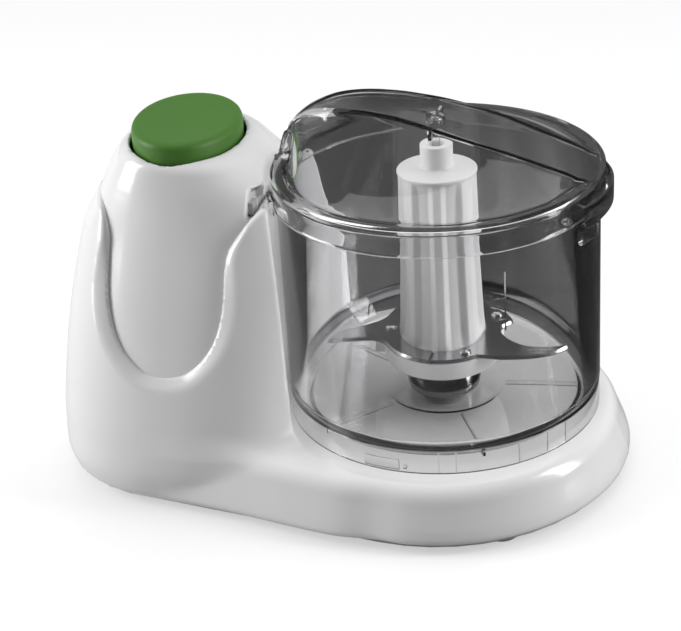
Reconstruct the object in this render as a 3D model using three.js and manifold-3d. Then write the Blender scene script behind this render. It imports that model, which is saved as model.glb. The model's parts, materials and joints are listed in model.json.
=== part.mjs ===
// Mini food chopper: a motor tower beside a round platform that carries a clear bowl, blade unit and lid.
// Millimetres, +Z up. The origin is on the ground, under the middle of the whole object.
// X runs along the length (tower at -X, bowl at +X) and -Y is the front.
import * as THREE from "three";
import { mergeVertices } from "three/addons/utils/BufferGeometryUtils.js";
import Module from "manifold-3d";

const wasm = await Module();
wasm.setup();

// ---- driving dimensions ----
const BOWL_X = 38.25; // axis of the bowl, blades and drive shaft
const TOWER_X = -54; // axis of the button and of the U-shaped cut-outs
const MOTOR_X = -58; // axis of the motor
const WALL = 2.6; // moulded wall of the housing
const GAP = 0.35; // clearance between neighbouring pieces

const HOUSING_Z0 = 3.4; // lower edge of the housing
const DECK_Z = 23.5; // top of the platform
const DECK_UNDER = DECK_Z - WALL;
const HORN_Z = 108; // top edge of the housing round the cover
const SEAT_R = 61.5; // hollow in the tower's side that the bowl stands in

const PLATE_Z0 = 2.6;
const PLATE_TOP = 5.2;
const FOOT_R = 6.5;

const BOWL_R = 57.7;
const BOWL_WALL = 1.8;
const BOWL_Z0 = 24;
const FLOOR_Z = 29.4; // inside of the bowl's floor
const FLOOR_T = 2;
const RIM_Z = 115.4;
const CHIMNEY_R = 7.6;
const CHIMNEY_TOP = 52;

const LID_R = 59.5;
const LID_SKIRT_Z = 108;
const LID_TOP_Z = 118.6; // flat rim of the lid
const LID_T = 1.8;

const SHAFT_R = 4;
const SHAFT_TOP = 60;
const HUB_R = 21.9;
const HUB_Z0 = 40.7;
const HUB_Z1 = 48.4;
const STEM_Z1 = 115;
const TUBE_TOP = 125;

const MOTOR_PULLEY_R = 8;
const DRIVE_PULLEY_R = 24;
const BELT_T = 1.6;
const BELT_Z0 = 8.5;
const BELT_Z1 = 13.5;

const BUTTON_TILT = -0.075; // the button's top falls towards the bowl
const BUTTON_Z = 131;

// Sections of the tower's outside: height, left end, right end, half depth.
const TOWER = [
  [3.4, -101.6, -1.75, 57.6], [7, -105.6, -1.75, 59.4], [13, -107.25, -1.75, 60],
  [24, -107.2, -1.75, 58.4], [40, -105.6, -1.75, 55], [60, -102.6, -1.75, 50.4],
  [80, -98.2, -1.75, 45], [97, -93.4, -4, 40], [110, -89.5, -8, 37],
];
// Sections of the cover inside it, which is what shows in the cut-outs and at the top.
const COVER = [
  [44, -101.5, -5, 50.9], [60, -99.3, -5, 47.1], [80, -94.9, -5, 41.7], [97, -90.4, -8, 36.9],
  [106, -87.5, -12.5, 34.8], [114, -83.6, -19, 33], [120, -79.6, -25, 31.2],
  [123, -77.4, -28, 30.2], [124.6, -75.9, -30.6, 29.2],
];
// Sections of the platform: height, half length, half depth.
const PLATFORM = [
  [3.4, 68.1, 72.1], [5.5, 69, 73], [12, 66.9, 70.3], [19, 64.6, 66.8], [22, 63.2, 65], [23.5, 60.9, 62.6],
];
const TOWER_POWER = 2.5;

// ---- helpers ----
const group = new THREE.Group();

const MATERIALS = {
  white: new THREE.MeshStandardMaterial({ color: 0xf1f1f0, roughness: 0.22, metalness: 0 }),
  green: new THREE.MeshStandardMaterial({ color: 0x4f9038, roughness: 0.35, metalness: 0 }),
  clear: new THREE.MeshStandardMaterial({
    color: 0xdfe6ea, roughness: 0.05, metalness: 0, transparent: true, opacity: 0.35,
  }),
  milky: new THREE.MeshStandardMaterial({ color: 0xf4f4f2, roughness: 0.35, metalness: 0 }),
  grey: new THREE.MeshStandardMaterial({ color: 0x8d8f92, roughness: 0.5, metalness: 0 }),
  black: new THREE.MeshStandardMaterial({ color: 0x1d1d1f, roughness: 0.6, metalness: 0 }),
  rubber: new THREE.MeshStandardMaterial({ color: 0x9a9a9c, roughness: 0.85, metalness: 0 }),
  steel: new THREE.MeshStandardMaterial({ color: 0xc9cbcd, roughness: 0.22, metalness: 1 }),
  iron: new THREE.MeshStandardMaterial({ color: 0x7b7d80, roughness: 0.5, metalness: 1 }),
  copper: new THREE.MeshStandardMaterial({ color: 0xb46a3c, roughness: 0.4, metalness: 1 }),
  brass: new THREE.MeshStandardMaterial({ color: 0xc8a24c, roughness: 0.35, metalness: 1 }),
};

function place(name, geometry, material) {
  const mesh = new THREE.Mesh(geometry, MATERIALS[material]);
  mesh.name = name;
  group.add(mesh);
}

function toSolid(geometry) {
  const g = geometry.clone();
  g.deleteAttribute("normal");
  g.deleteAttribute("uv");
  const m = mergeVertices(g, 1e-4);
  return new wasm.Manifold(new wasm.Mesh({
    numProp: 3,
    vertProperties: new Float32Array(m.attributes.position.array),
    triVerts: new Uint32Array(m.index.array),
  }));
}

function toGeometry(solid) {
  const mesh = solid.simplify(0.1).getMesh();
  const g = new THREE.BufferGeometry();
  g.setAttribute("position", new THREE.BufferAttribute(new Float32Array(mesh.vertProperties), 3));
  g.setIndex(new THREE.BufferAttribute(new Uint32Array(mesh.triVerts), 1));
  g.computeVertexNormals();
  return g;
}

// Solid of revolution about a vertical axis at (x, y); the profile is [radius, height] pairs, anticlockwise.
function lathe(points, x = 0, y = 0, segments = 28) {
  const closed = points[0][0] > 0 ? [...points, points[0]] : points;
  const g = new THREE.LatheGeometry(closed.map(([r, z]) => new THREE.Vector2(r, z)), segments);
  g.rotateX(Math.PI / 2);
  g.translate(x, y, 0);
  return toSolid(g);
}

function disc(r, z0, z1, x = 0, y = 0, segments = 24) {
  return lathe([[0, z0], [r, z0], [r, z1], [0, z1]], x, y, segments);
}

function ring(r0, r1, z0, z1, x = 0, y = 0, segments = 24) {
  return lathe([[r0, z0], [r1, z0], [r1, z1], [r0, z1]], x, y, segments);
}

function block(x0, x1, y0, y1, z0, z1) {
  const g = new THREE.BoxGeometry(x1 - x0, y1 - y0, z1 - z0);
  g.translate((x0 + x1) / 2, (y0 + y1) / 2, (z0 + z1) / 2);
  return toSolid(g);
}

// Upright prism from a plan outline of [x, y] pairs.
function prism(outline, z0, z1, holes = []) {
  const shape = new THREE.Shape(outline.map(([x, y]) => new THREE.Vector2(x, y)));
  for (const hole of holes) {
    shape.holes.push(new THREE.Path(hole.map(([x, y]) => new THREE.Vector2(x, y))));
  }
  const g = new THREE.ExtrudeGeometry(shape, { depth: z1 - z0, bevelEnabled: false });
  g.translate(0, 0, z0);
  return toSolid(g);
}

// Solid through a stack of rings with equal point counts, closed by fans at both ends.
function loft(rings) {
  const n = rings[0].length;
  const pos = rings.flat(2);
  const index = [];
  for (let k = 0; k + 1 < rings.length; k += 1) {
    for (let i = 0; i < n; i += 1) {
      const a = k * n + i;
      const b = k * n + ((i + 1) % n);
      index.push(a, b, b + n, a, b + n, a + n);
    }
  }
  for (const [k, flip] of [[0, true], [rings.length - 1, false]]) {
    const centre = [0, 1, 2].map((c) => rings[k].reduce((s, p) => s + p[c], 0) / n);
    const hub = pos.length / 3;
    pos.push(...centre);
    for (let i = 0; i < n; i += 1) {
      const a = k * n + i;
      const b = k * n + ((i + 1) % n);
      index.push(...(flip ? [hub, b, a] : [hub, a, b]));
    }
  }
  const g = new THREE.BufferGeometry();
  g.setAttribute("position", new THREE.Float32BufferAttribute(pos, 3));
  g.setIndex(index);
  return toSolid(g);
}

function lerpTable(table, z) {
  const last = table.length - 1;
  const zc = Math.min(Math.max(z, table[0][0]), table[last][0]);
  let k = 0;
  while (k < last - 1 && table[k + 1][0] < zc) {
    k += 1;
  }
  const t = (zc - table[k][0]) / (table[k + 1][0] - table[k][0]);
  return table[k].map((v, i) => v + t * (table[k + 1][i] - v)).slice(1);
}

// Point of a superellipse whose outward normal points along the angle phi.
function superPoint(x0, x1, half, power, phi) {
  const a = (x1 - x0) / 2;
  const c = Math.cos(phi);
  const s = Math.sin(phi);
  const q = power / (power - 1);
  const u = Math.abs(a * c) ** q;
  const v = Math.abs(half * s) ** q;
  const x = a * (u / (u + v)) ** (1 / power) * Math.sign(c);
  const y = half * (v / (u + v)) ** (1 / power) * Math.sign(s);
  return [(x0 + x1) / 2 + x, y];
}

function angles(n) {
  return Array.from({ length: n }, (_, i) => (2 * Math.PI * i) / n);
}

function towerRing(table, z, inset, n = 36, power = TOWER_POWER) {
  const [left, right, half] = lerpTable(table, z);
  return angles(n).map((phi) => [...superPoint(left + inset, right - inset, half - inset, power, phi), z]);
}

// Outline round the tower's foot and the platform together, with straight runs between them.
function baseRing(z, inset, n = 44) {
  const [left, right, half] = lerpTable(TOWER, z);
  const [rx, ry] = lerpTable(PLATFORM, z);
  return angles(n).map((phi) => {
    const c = Math.cos(phi);
    const s = Math.sin(phi);
    const p = superPoint(left + inset, right - inset, half - inset, TOWER_POWER, phi);
    const q = superPoint(BOWL_X - rx + inset, BOWL_X + rx - inset, ry - inset, 2, phi);
    const best = p[0] * c + p[1] * s > q[0] * c + q[1] * s ? p : q;
    return [...best, z];
  });
}

function heights(table) {
  return table.map((row) => row[0]);
}

// ---- housing, cover, base ----
// The U-shaped cut-out in the tower's front and back, as a prism along Y.
function uCut() {
  const half = [[0, 48.6], [8, 49.4], [15, 53.6], [20.5, 60], [23.6, 67], [24.8, 76], [25, 88]];
  const leftTop = [[24.6, 97], [26.6, 103.5], [30, HORN_Z]];
  const rightTop = [[26.8, 96], [29.8, 100.6], [33, 104.6], [37, HORN_Z]];
  const left = half.concat(leftTop).map(([w, z]) => [TOWER_X - w, z]).reverse();
  const right = half.concat(rightTop).map(([w, z]) => [TOWER_X + w, z]);
  const outline = [[-130, 140], [-130, HORN_Z], ...left, ...right.slice(1), [0, HORN_Z], [0, 140]];
  const shape = new THREE.Shape(outline.map(([x, z]) => new THREE.Vector2(x, z)));
  const g = new THREE.ExtrudeGeometry(shape, { depth: 180, bevelEnabled: false });
  g.rotateX(Math.PI / 2);
  g.translate(0, 90, 0);
  return toSolid(g);
}

const SCREWS = [[-91, 0], [8, 47], [8, -47], [92, 0]];

function bossColumn([x, y]) {
  return ring(1.6, 4.2, PLATE_TOP + GAP, DECK_UNDER + 0.5, x, y, 20);
}

function mainHousing() {
  const outer = loft(heights(PLATFORM).map((z) => baseRing(z, 0)))
    .add(loft([...heights(TOWER).slice(0, -1), HORN_Z + 1].map((z) => towerRing(TOWER, z, 0))))
    .subtract(disc(SEAT_R, DECK_Z, 140, BOWL_X, 0, 52));
  const under = loft([-1, 3.4, 12, DECK_UNDER].map((z) => baseRing(z, WALL)));
  const inTower = loft([-1, 3.4, 13, 40, 60, 80, 97, 120].map((z) => towerRing(TOWER, z, WALL)))
    .subtract(disc(SEAT_R + WALL, DECK_UNDER, 140, BOWL_X, 0, 52));
  let body = outer.subtract(under).subtract(inTower).subtract(uCut());
  const bushBoss = ring(8.35, 11.5, 15, DECK_UNDER + 0.5, BOWL_X);
  body = body.add(bushBoss).subtract(disc(8.35, 14, 30, BOWL_X));
  for (const screw of SCREWS.slice(1)) {
    body = body.add(bossColumn(screw));
  }
  const rearBoss = ring(1.6, 4.2, PLATE_TOP + GAP, 22, SCREWS[0][0], 0, 20)
    .add(block(-106, SCREWS[0][0] - 2.5, -1.2, 1.2, 10, 22));
  body = body.add(rearBoss);
  const glandHole = toSolid(new THREE.CylinderGeometry(5.3, 5.3, 20, 24).translate(-70, 56, 14));
  place("main_housing", toGeometry(body.subtract(glandHole)), "white");
}

function tilted(points, amount) {
  const [left, right] = lerpTable(COVER, 124.6);
  const mid = (left + right) / 2;
  return points.map(([x, y, z]) => [x, y, z + amount * BUTTON_TILT * (x - mid)]);
}

// The cover's outside ring; its top is tilted like the button.
function coverRing(z, inset) {
  const power = z > 110 ? 2.3 : TOWER_POWER;
  return tilted(towerRing(COVER, z, inset, 36, power), Math.max(0, (z - 114) / 10.6));
}

function buttonRing(rx, ry, z, n = 40) {
  return angles(n).map((phi) => {
    const x = rx * Math.cos(phi);
    const y = ry * Math.sin(phi);
    return [TOWER_X + x, y, z + BUTTON_TILT * x];
  });
}

function towerCover() {
  const outside = loft([46, 60, 80, 97, 106, 114, 120, 123, 124.6].map((z) => coverRing(z, 0)));
  const inside = loft([40, 60, 80, 97, 106, 114, 119].map((z) => coverRing(z, 2.2))
    .concat([coverRing(122, 4)]));
  const step = HORN_Z + GAP;
  const seat = disc(SEAT_R + WALL + GAP, 40, step, BOWL_X, 0, 52)
    .add(disc(SEAT_R, step - 0.1, 140, BOWL_X, 0, 52));
  const seatIn = disc(SEAT_R + WALL + GAP + 2.2, 30, step + 2.2, BOWL_X, 0, 52)
    .add(disc(SEAT_R + 2.2, step + 2.1, 140, BOWL_X, 0, 52));
  const hole = loft([buttonRing(20.4, 28.5, 112), buttonRing(20.4, 28.5, 135)]);
  const slot = block(TOWER_X + 25.4, TOWER_X + 38, -36, -16, 104.4, 113.4);
  const body = outside.subtract(seat).subtract(inside.subtract(seatIn)).subtract(hole).subtract(slot);
  place("tower_cover", toGeometry(body), "white");
}

function basePlate() {
  const flat = (z, inset) => baseRing(HOUSING_Z0, inset).map(([x, y]) => [x, y, z]);
  let body = loft([flat(PLATE_Z0, 1.2), flat(HOUSING_Z0 - 0.3, 1)])
    .add(loft([flat(HOUSING_Z0 - 0.4, WALL + 1), flat(PLATE_TOP, WALL + 1)]));
  for (const [x, y] of SCREWS) {
    body = body.subtract(disc(1.9, 0, 9, x, y, 16)).subtract(disc(3.6, 0, PLATE_Z0 + 1, x, y, 16));
  }
  place("base_plate", toGeometry(body), "grey");
}

const FEET = { front_left: [-78, -42], rear_left: [-78, 42], front_right: [69, -53], rear_right: [69, 53] };

function feetAndScrews() {
  for (const [name, [x, y]] of Object.entries(FEET)) {
    const top = PLATE_Z0 - 0.05;
    const foot = lathe([[0, 0], [FOOT_R - 1, 0], [FOOT_R, 0.8], [FOOT_R, top], [0, top]], x, y);
    place(`foot_${name}`, toGeometry(foot), "rubber");
  }
  SCREWS.forEach(([x, y], i) => {
    const low = PLATE_Z0 + 0.1;
    const neck = PLATE_Z0 + 0.9;
    const screw = lathe([[0, low], [3.2, low], [3.2, neck], [1.4, neck], [1.4, 14], [0, 15]], x, y, 16);
    place(`base_screw_${i + 1}`, toGeometry(screw), "steel");
  });
}

function cordGland() {
  const g = new THREE.LatheGeometry([[0, 0], [7.2, 0], [7.2, 1.6], [4.9, 1.6], [4.9, 9], [0, 9]]
    .map(([r, h]) => new THREE.Vector2(r, h)), 28);
  // The flange stands on the outside of the rear wall and the plug reaches in through it.
  g.rotateX(Math.PI);
  g.translate(-70, 61.8, 14);
  const bore = toSolid(new THREE.CylinderGeometry(2.6, 2.6, 5, 20).translate(-70, 60.8, 14));
  place("cord_gland", toGeometry(toSolid(g).subtract(bore)), "rubber");
}

// ---- button and switches ----
function pulseButton() {
  const cap = loft([
    buttonRing(19.2, 27.4, 117), buttonRing(19.2, 27.4, BUTTON_Z - 1.6),
    buttonRing(18.6, 26.8, BUTTON_Z - 0.5), buttonRing(17.2, 25.4, BUTTON_Z),
  ]);
  const hollow = loft([buttonRing(17.4, 25.6, 110), buttonRing(17.4, 25.6, BUTTON_Z - 2.6)]);
  const skirt = loft([buttonRing(22.6, 30.6, 116.2), buttonRing(22.6, 30.6, 117.6)])
    .intersect(loft([104, 118.6].map((z) => coverRing(z, 4))));
  const body = cap.add(skirt).subtract(hollow);
  place("pulse_button", toGeometry(body), "green");
  const stem = disc(3, 101, 127.6, TOWER_X, 0, 24).add(disc(9, 115.8, 117.4, TOWER_X, 0, 24));
  place("button_stem", toGeometry(stem), "milky");
}

function spring(name, r, wire, z0, z1, turns, x, y, alongX = false) {
  const points = [];
  const count = turns * 8;
  for (let i = 0; i <= count; i += 1) {
    const a = (2 * Math.PI * i) / 8;
    points.push(new THREE.Vector3(r * Math.cos(a), r * Math.sin(a), ((z1 - z0) * i) / count));
  }
  const path = new THREE.CatmullRomCurve3(points);
  const circle = new THREE.Shape();
  circle.absarc(0, 0, wire, 0, 2 * Math.PI);
  const g = new THREE.ExtrudeGeometry(circle, {
    steps: count, curveSegments: 3, extrudePath: path, bevelEnabled: false,
  });
  if (alongX) {
    g.rotateY(Math.PI / 2);
    g.translate(z0, y, x);
  } else {
    g.translate(x, y, z0);
  }
  place(name, g, "steel");
}

function buttonWorks() {
  spring("button_spring", 5.4, 0.55, 104.2, 115, 4, TOWER_X, 0);
  const shelf = block(TOWER_X - 16, TOWER_X + 16, -11, 11, 101, 103.2)
    .subtract(disc(3.5, 90, 110, TOWER_X))
    .subtract(block(TOWER_X - 30, TOWER_X - 13, -4, 4, 90, 110));
  place("button_guide", toGeometry(shelf), "milky");
  const body = block(TOWER_X - 6, TOWER_X + 14, -5, 5, 85, 95);
  place("pulse_switch", toGeometry(body), "black");
  place("switch_plunger", toGeometry(disc(1.6, 95.2, 97, TOWER_X, 0, 16)), "milky");
}

function interlock() {
  // A grey bar stands behind the slot; the lid's tab presses it in towards the switch.
  const bar = block(TOWER_X + 24, TOWER_X + 31, -25.2, -20.5, 105.2, 109.6)
    .add(block(TOWER_X + 20.6, TOWER_X + 24.2, -26.2, -19, 104.8, 110));
  place("interlock_lever", toGeometry(bar), "grey");
  spring("interlock_spring", 1.6, 0.35, TOWER_X + 13.4, TOWER_X + 20, 4, 107.4, -23, true);
  place("interlock_switch", toGeometry(block(TOWER_X + 7, TOWER_X + 12.6, -27, -19, 101.5, 111)), "black");
}

// ---- motor and drive ----
function motor() {
  const x = MOTOR_X;
  const core = prism([[x - 24, -27], [x + 24, -27], [x + 28, -22], [x + 28, 22], [x + 24, 27], [x - 24, 27],
    [x - 28, 22], [x - 28, -22]], 42, 60).subtract(disc(17, 40, 62, x, 0, 40));
  place("stator_core", toGeometry(core), "iron");
  for (const [name, z0, z1] of [["field_winding_lower", 36, 41.7], ["field_winding_upper", 60.3, 66]]) {
    place(name, toGeometry(ring(18, 25, z0, z1, x, 0, 36)), "copper");
  }
  const arms = [[x - 11, -30], [x + 11, -30], [x + 20, -12], [x + 20, 12], [x + 11, 30], [x - 11, 30],
    [x - 20, 12], [x - 20, -12]];
  const bracket = (z0, z1, bearing) => prism(arms, z0, z1).subtract(disc(bearing, z0 - 1, z1 + 1, x));
  place("motor_bracket_lower", toGeometry(bracket(24, 27, 7.05)), "iron");
  place("motor_bracket_upper", toGeometry(bracket(79, 82, 6.05)), "iron");
  place("motor_bearing_lower", toGeometry(ring(3.05, 7, 23.6, 28, x)), "steel");
  place("motor_bearing_upper", toGeometry(ring(2.6, 6, 78.4, 83, x)), "brass");
  for (const [name, s] of [["left", -1], ["right", 1]]) {
    const cx = x + s * 15;
    place(`brush_holder_${name}`, toGeometry(block(cx - 5, cx + 5, -3.6, 3.6, 69, 76)), "black");
  }
  place("motor_shaft", toGeometry(disc(3, 15.6, 78, x, 0, 24).add(disc(2.5, 77.9, 84, x, 0, 24))), "steel");
  const slots = 12;
  const outline = angles(slots * 4).map((a, i) => {
    const r = i % 4 === 0 ? 13.2 : 16;
    return [x + r * Math.cos(a), r * Math.sin(a)];
  });
  place("armature", toGeometry(prism(outline, 41, 61).subtract(disc(3.1, 40, 62, x))), "iron");
  place("armature_winding", toGeometry(ring(3.1, 13.4, 61.3, 67, x)), "copper");
  place("commutator", toGeometry(ring(3.1, 9, 68, 76, x)), "copper");
  let fan = ring(3.1, 7, 29, 33.5, x).add(disc(22, 29, 30.2, x).subtract(disc(5, 20, 40, x)));
  for (let i = 0; i < 6; i += 1) {
    const vane = new THREE.BoxGeometry(14.4, 1.2, 3.6).translate(14, 0, 31.9);
    fan = fan.add(toSolid(vane.rotateZ((i * Math.PI) / 3).translate(x, 0, 0)));
  }
  place("cooling_fan", toGeometry(fan), "black");
}

function drive() {
  const pulley = (r, bore, x) => lathe([
    [bore, 7], [r + 1.6, 7], [r + 1.6, 8.2], [r, 8.2], [r, 13.8], [r + 1.6, 13.8], [r + 1.6, 15], [bore, 15],
  ], x);
  place("motor_pulley", toGeometry(pulley(MOTOR_PULLEY_R, 0, MOTOR_X)), "brass");
  place("drive_pulley", toGeometry(pulley(DRIVE_PULLEY_R, 4.05, BOWL_X)), "black");
  const span = BOWL_X - MOTOR_X;
  const lean = Math.asin((DRIVE_PULLEY_R - MOTOR_PULLEY_R) / span);
  const belt = (extra) => {
    const arc = (cx, r, from, to) => Array.from({ length: 17 }, (_, i) => {
      const a = from + ((to - from) * i) / 16;
      return [cx + (r + extra) * Math.cos(a), (r + extra) * Math.sin(a)];
    });
    const turn = Math.PI / 2 + lean;
    return arc(BOWL_X, DRIVE_PULLEY_R, -turn, turn)
      .concat(arc(MOTOR_X, MOTOR_PULLEY_R, turn, 2 * Math.PI - turn));
  };
  place("drive_belt", toGeometry(prism(belt(0.3 + BELT_T), BELT_Z0, BELT_Z1, [belt(0.3)])), "black");
  const shaft = disc(SHAFT_R, 6, 53, BOWL_X).add(disc(SHAFT_R - 0.1, 52.9, SHAFT_TOP, BOWL_X, 0, 6));
  place("drive_shaft", toGeometry(shaft), "steel");
  place("drive_bush_lower", toGeometry(ring(4.05, 9, PLATE_TOP + 0.05, 6.7, BOWL_X)), "brass");
  place("drive_bush_upper", toGeometry(ring(4.05, 8.3, 15.6, 22.4, BOWL_X)), "brass");
  const seal = lathe([[4.2, 22.6], [8.2, 22.6], [8.2, 24.2], [6, 25.6], [4.2, 25.6]], BOWL_X);
  place("shaft_seal", toGeometry(seal), "rubber");
}

// ---- bowl ----
function bowl() {
  const rIn = BOWL_R - BOWL_WALL;
  const under = FLOOR_Z - FLOOR_T;
  const body = lathe([
    [4.6, under], [rIn, under], [rIn, BOWL_Z0], [BOWL_R, BOWL_Z0], [BOWL_R, RIM_Z], [rIn, RIM_Z],
    [rIn, FLOOR_Z + 7], [rIn - 2, FLOOR_Z + 2.2], [rIn - 6.6, FLOOR_Z],
    [CHIMNEY_R, FLOOR_Z], [CHIMNEY_R, CHIMNEY_TOP], [4.6, CHIMNEY_TOP],
  ], BOWL_X, 0, 52);
  place("bowl", toGeometry(body), "clear");
  const foot = FLOOR_Z + 0.1;
  const collar = lathe([[8, foot], [13.6, foot], [14, 32], [12.8, 36], [10.6, 38.6], [8, 38.6]], BOWL_X, 0, 40);
  place("bowl_collar", toGeometry(collar), "steel");
}

// ---- blade unit ----
function fluteRing(r, depth, z, n = 32) {
  return angles(n).map((a) => {
    const k = r - depth * (0.5 - 0.5 * Math.cos(8 * a));
    return [BOWL_X + k * Math.cos(a), k * Math.sin(a), z];
  });
}

function bladeCarrier() {
  const hub = lathe([[0, HUB_Z0], [HUB_R - 1, HUB_Z0], [HUB_R, HUB_Z0 + 1], [HUB_R, HUB_Z1], [0, HUB_Z1]],
    BOWL_X);
  const stem = loft([fluteRing(16.2, 1.4, HUB_Z1 - 0.5), fluteRing(14.6, 1.2, STEM_Z1 - 2),
    fluteRing(14.4, 0.4, STEM_Z1)]);
  const top = lathe([[0, STEM_Z1 - 1], [15.2, STEM_Z1 - 1], [15.2, STEM_Z1 + 0.8], [5.8, STEM_Z1 + 1.6],
    [5.8, TUBE_TOP - 0.5], [5.3, TUBE_TOP], [0, TUBE_TOP]], BOWL_X);
  const bore = lathe([[0, 30], [8.1, 30], [8.1, CHIMNEY_TOP + 1.4], [0, CHIMNEY_TOP + 1.4]], BOWL_X);
  const socket = disc(SHAFT_R + 0.2, 50, SHAFT_TOP + 1, BOWL_X, 0, 6);
  const hollow = lathe([[0, 65], [12, 65], [11, 111], [2.4, 112], [2.4, 130], [0, 130]], BOWL_X);
  let body = hub.add(stem).add(top).subtract(bore).subtract(socket).subtract(hollow);
  body = body.add(block(BOWL_X - 25.5, BOWL_X - HUB_R + 1.5, -5, 3, HUB_Z0, HUB_Z1 - 0.2));
  place("blade_carrier", toGeometry(body), "milky");
}

// Points along an arc about the bowl's axis, angles in degrees.
function arcPoints(r, from, to, steps) {
  return Array.from({ length: steps + 1 }, (_, i) => {
    const a = ((from + ((to - from) * i) / steps) * Math.PI) / 180;
    return [r * Math.cos(a), r * Math.sin(a)];
  });
}

// Each blade is half of a flat ring on the hub, drawn out into a curved arm with a point.
function blades() {
  const rightArm = [[24.6, -16.2], [34, -13.8], [42.5, -9.2], [47.6, -2.6], [40, -5.6], [33, -6.4],
    [27.6, -4.4], [23.4, -0.6], [21.9, 4], [25.4, 9.4], [22.6, 13.8]];
  const leftArm = [[-19.8, 8.6], [-23.4, 3.4], [-32, -4.6], [-41.4, -14.6], [-33, -11.6], [-24.5, -11.4]];
  const right = [...rightArm, ...arcPoints(21.5, 45, 85, 4), ...arcPoints(16.6, 85, -85, 14),
    ...arcPoints(21.5, -85, -46, 4)];
  const left = [...leftArm, ...arcPoints(21.5, -146, -95, 5), ...arcPoints(16.6, -95, -265, 14),
    ...arcPoints(21.5, -265, -206, 6)];
  for (const [name, outline] of [["blade_right", right], ["blade_left", left]]) {
    const points = outline.map(([x, y]) => [BOWL_X + x, y]);
    place(name, toGeometry(prism(points, HUB_Z1 + 0.1, HUB_Z1 + 1.3)), "steel");
  }
  const rivets = [[-18.8, -3.6], [11.4, -15.2], [-11.4, 15.2], [18.6, 12]];
  rivets.forEach(([x, y], i) => {
    const z = HUB_Z1 + 1.4;
    const head = lathe([[0, z], [2.4, z], [2.1, z + 0.8], [0, z + 1.1]], BOWL_X + x, y, 16);
    place(`blade_rivet_${i + 1}`, toGeometry(head), "steel");
  });
}

// ---- lid ----
// Height of the lid's top. A leaf-shaped grip arches over the middle, highest near the tower.
const GRIP = [[-57, 121], [-53, 129], [-46, 136.6], [-36, 140.8], [-26, 141], [-10, 138.6], [5, 134.9],
  [20, 131], [35, 126.6], [48, 121.2], [54, LID_TOP_Z]];
// Half width of the grip's flat top along its length.
const GRIP_HALF = [[-57, 0.5], [-50, 4], [-40, 8], [-28, 11], [-12, 13.6], [8, 15], [25, 14.8], [42, 13],
  [54, 11]];

function lidHeight(x, y) {
  const r = Math.hypot(x, y);
  const rimR = 52;
  if (r >= rimR) {
    const top = lerpTable(GRIP, x)[0];
    const w = lerpTable(GRIP_HALF, x)[0];
    const over = x < 0 && Math.abs(y) < w + 4 ? Math.max(0, 1 - (r - rimR) / 5.5) : 0;
    return LID_TOP_Z + over * (top - LID_TOP_Z) * Math.max(0, 1 - Math.max(0, Math.abs(y) - w) / 4);
  }
  const top = lerpTable(GRIP, x)[0];
  const w = lerpTable(GRIP_HALF, x)[0];
  const edge = Math.sqrt(Math.max(rimR * rimR - x * x, 1));
  const ay = Math.abs(y);
  if (ay <= w || edge <= w + 1) {
    return Math.max(top, LID_TOP_Z);
  }
  const t = Math.min(1, (ay - w) / (edge - w));
  return LID_TOP_Z + (top - LID_TOP_Z) * (1 - t) ** 1.6;
}

function lid() {
  const n = 48;
  const radii = [0.5, 8, 15, 22, 29, 36, 43, 49, 53, 56, 58.4, LID_R];
  const rings = [];
  const edgeDrop = (r) => (r >= LID_R ? 1.6 : r > 58 ? 0.4 : 0);
  const ringAt = (r, z) => angles(n).map((a) => {
    const x = r * Math.cos(a);
    const y = r * Math.sin(a);
    return [BOWL_X + x, y, z(x, y, r)];
  });
  const inner = LID_R - 1.4;
  rings.push(...radii.slice(0, 10).map((r) => ringAt(r, (x, y) => lidHeight(x, y) - LID_T)));
  rings.push(ringAt(inner, () => LID_TOP_Z - LID_T));
  rings.push(ringAt(inner, () => LID_SKIRT_Z));
  rings.push(ringAt(LID_R, () => LID_SKIRT_Z));
  rings.push(...radii.slice().reverse().map((r) => ringAt(r, (x, y) => lidHeight(x, y) - edgeDrop(r))));
  let body = loft(rings);
  // Thumb latch on the right: a curved plate that stands off the skirt on two arms, with a block below.
  const wedge = (a0, a1, r0, r1, z0, z1) => {
    const steps = 6;
    const arc = (r, from, to) => Array.from({ length: steps + 1 }, (_, i) => {
      const a = ((from + ((to - from) * i) / steps) * Math.PI) / 180;
      return [BOWL_X + r * Math.cos(a), r * Math.sin(a)];
    });
    return prism([...arc(r0, a1, a0), ...arc(r1, a0, a1)], z0, z1);
  };
  body = body.add(wedge(-28, 3, 64.6, 66, 109, 117)).add(wedge(-28, -26, LID_R - 0.6, 65, 104, 117))
    .add(wedge(1, 3, LID_R - 0.6, 65, 109, 117)).add(wedge(-31, -26, LID_R - 0.6, 62.4, 103, 112));
  // Locking tab that stands at the mouth of the tower's slot.
  body = body.add(wedge(-162, -153, LID_R - 0.6, 61.1, 106, 111));
  // Boss under the grip for the centring pin.
  const ribs = block(BOWL_X - 9, BOWL_X - 3, -0.7, 0.7, 130.5, 138)
    .add(block(BOWL_X + 3, BOWL_X + 9, -0.7, 0.7, 130.5, 133.5));
  body = body.add(ring(1.65, 3.6, 129, 137, BOWL_X, 0, 24)).add(ribs);
  place("lid", toGeometry(body), "clear");
  const pin = lathe([[0, 121.5], [1.2, 121.5], [1.5, 122.5], [1.5, 133.6], [0, 133.6]], BOWL_X, 0, 16);
  place("lid_pin", toGeometry(pin), "steel");
}

mainHousing();
towerCover();
basePlate();
feetAndScrews();
cordGland();
pulseButton();
buttonWorks();
interlock();
motor();
drive();
bowl();
bladeCarrier();
blades();
lid();

export default group;
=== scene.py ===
"""Looks of the mini food chopper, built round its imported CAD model. Shapes are in millimetres."""
import json
import math

import bmesh
import bpy
import numpy as np
from mathutils import Matrix, Vector


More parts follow.
